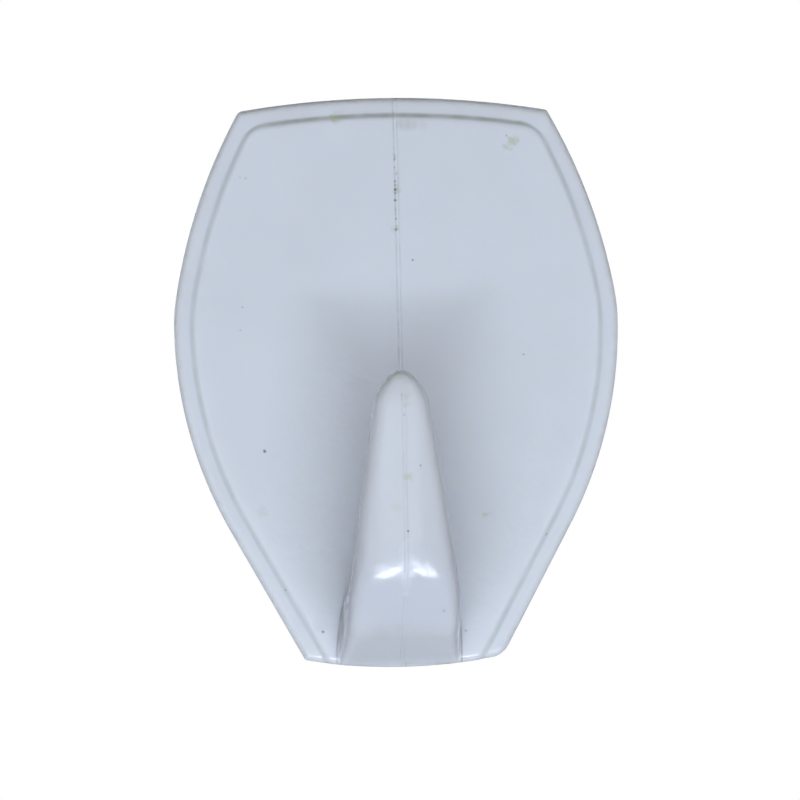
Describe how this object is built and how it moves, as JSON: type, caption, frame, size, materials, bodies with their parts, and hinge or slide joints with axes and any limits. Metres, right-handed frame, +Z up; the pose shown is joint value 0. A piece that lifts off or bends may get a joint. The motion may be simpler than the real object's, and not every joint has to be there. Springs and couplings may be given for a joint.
{
  "type": "adhesive wall hook",
  "caption": "Moulded plastic wall hook: a shield-shaped plate with a raised field and an upturned prong, on a self-adhesive foam pad with a peel-off liner.",
  "frame": {"origin": "middle of the wall plane: on the outer face of the release liner, at half the plate's height and width", "axes": "+X to the right seen from the front, +Y into the wall, +Z up; the prong points towards -Y and its tip up"},
  "size_m": [0.05, 0.018, 0.064],
  "materials": {
    "white_plastic": "satin",
    "adhesive": "gloss",
    "foam": "matte",
    "liner_paper": "satin"
  },
  "bodies": {
    "hook": {"hook_moulding": "white_plastic", "plate_side_adhesive": "adhesive", "foam_core": "foam", "wall_side_adhesive": "adhesive"},
    "liner": {"release_liner": "liner_paper"}
  },
  "joints": [
    {"name": "liner_peel", "type": "slide", "parent": "hook", "child": "liner", "axis": [0, 1, 0], "range_m": [0, 0.03]}
  ]
}
